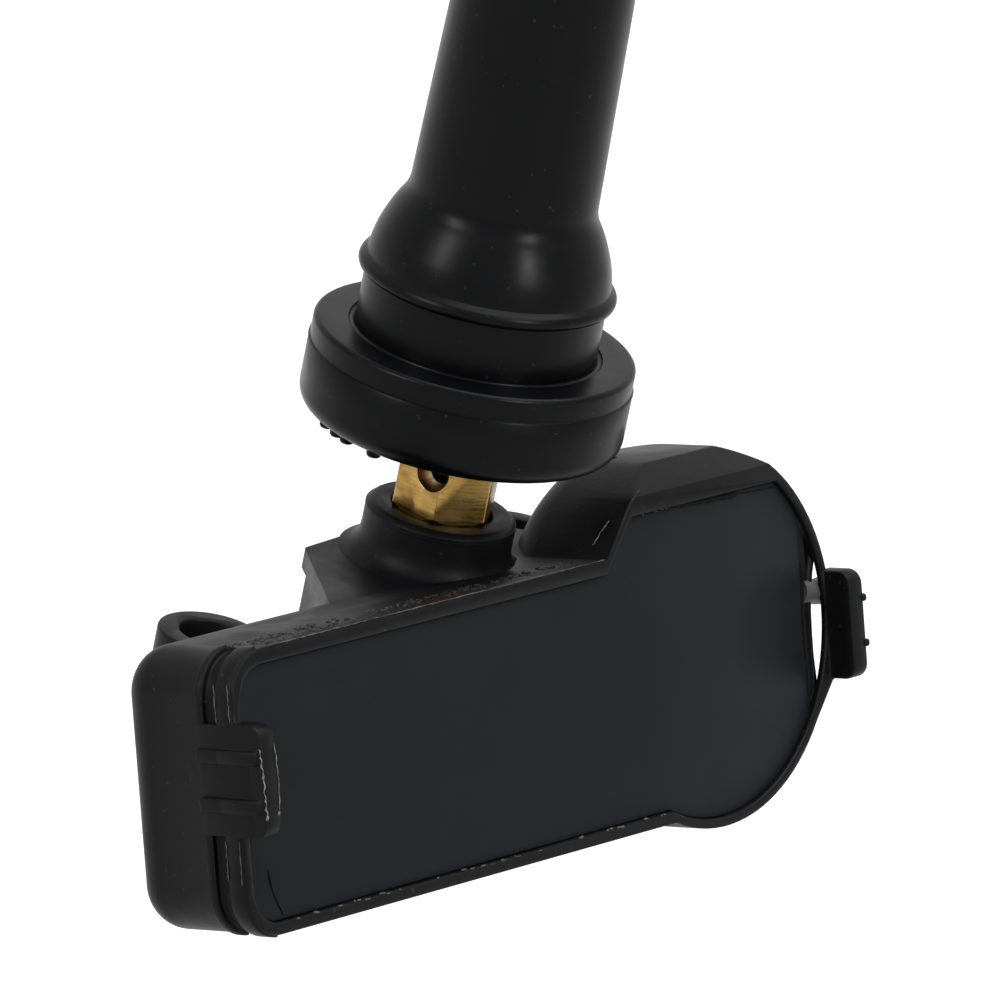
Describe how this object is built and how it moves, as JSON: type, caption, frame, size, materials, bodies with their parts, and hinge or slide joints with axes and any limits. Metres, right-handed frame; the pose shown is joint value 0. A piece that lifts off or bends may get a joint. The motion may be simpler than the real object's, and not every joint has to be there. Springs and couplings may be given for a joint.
{
  "type": "tyre pressure sensor",
  "caption": "Tyre pressure sensor on a rubber snap-in valve: a potted sensor module tilted under the valve's flange, with core and screw-on cap.",
  "frame": {"origin": "centre of the flange's upper face, which seats on the inside of the wheel rim around the valve hole", "axes": "+Z along the valve, outwards to the cap; +X along the module towards its round end; -Y towards the potted face"},
  "size_m": [0.0576, 0.024, 0.0709],
  "materials": {
    "rubber": "satin moulded rubber",
    "brass": "turned, slightly dulled",
    "core_brass": "turned",
    "spring_steel": "drawn wire",
    "core_sealing": "fine moulded",
    "core_gasket": "smooth, pressed",
    "cap_plastic": "fine moulded, satin",
    "screw_steel": "zinc plated",
    "housing_nylon": "glass-filled, satin",
    "potting_resin": "poured, dull satin",
    "board": "solder mask, satin",
    "cell_steel": "drawn, bright",
    "tab_nickel": "rolled strip",
    "chip_plastic": "fine moulded",
    "chip_steel": "etched sheet",
    "silicone": "soft, matte",
    "crystal_can": "pressed lid",
    "ferrite": "ground",
    "copper": "lacquered wire",
    "antenna_wire": "tinned wire",
    "chip_ceramic": "fired, matte",
    "resistor_body": "glazed top"
  },
  "bodies": {
    "module": {"valve_rubber": "rubber", "valve_stem": "brass", "core_plug": "core_brass", "core_barrel": "core_brass", "core_gasket": "core_gasket", "core_spring": "spring_steel", "retaining_screw": "screw_steel", "housing": "housing_nylon", "potting": "potting_resin", "circuit_board": "board", "coin_cell": "cell_steel", "battery_tab_plus": "tab_nickel", "battery_tab_minus": "tab_nickel", "sensor_chip": "chip_plastic", "chip_lid": "chip_steel", "port_gasket": "silicone", "crystal": "crystal_can", "antenna_core": "ferrite", "antenna_winding": "copper", "radio_antenna": "antenna_wire", "capacitor_1": "chip_ceramic", "capacitor_2": "chip_ceramic", "capacitor_3": "chip_ceramic", "capacitor_4": "chip_ceramic", "inductor_1": "ferrite", "resistor_1": "resistor_body", "resistor_2": "resistor_body"},
    "core_pin_body": {"core_pin": "core_brass", "core_cup": "core_brass", "core_seal": "core_sealing"},
    "cap_lift": {"cap_seal": "core_sealing"},
    "cap": {"valve_cap": "cap_plastic"}
  },
  "joints": [
    {"name": "core_press", "type": "slide", "parent": "module", "child": "core_pin_body", "axis": [0, 0, -1], "range_m": [0, 0.0012], "stiffness_N_per_m": 500, "springref_m": -0.001, "deforming": ["core_spring"]},
    {"name": "cap_rise", "type": "slide", "parent": "module", "child": "cap_lift", "axis": [0, 0, 1], "range_m": [0, 0.00397]},
    {"name": "cap_turn", "type": "hinge", "parent": "cap_lift", "child": "cap", "pos_m": [0, 0, 0], "axis": [0, 0, 1], "range_deg": [0, 1800]}
  ],
  "couplings": [
    {"joint": "cap_turn", "follows": "cap_rise", "rad_per_m": 7915.8}
  ]
}
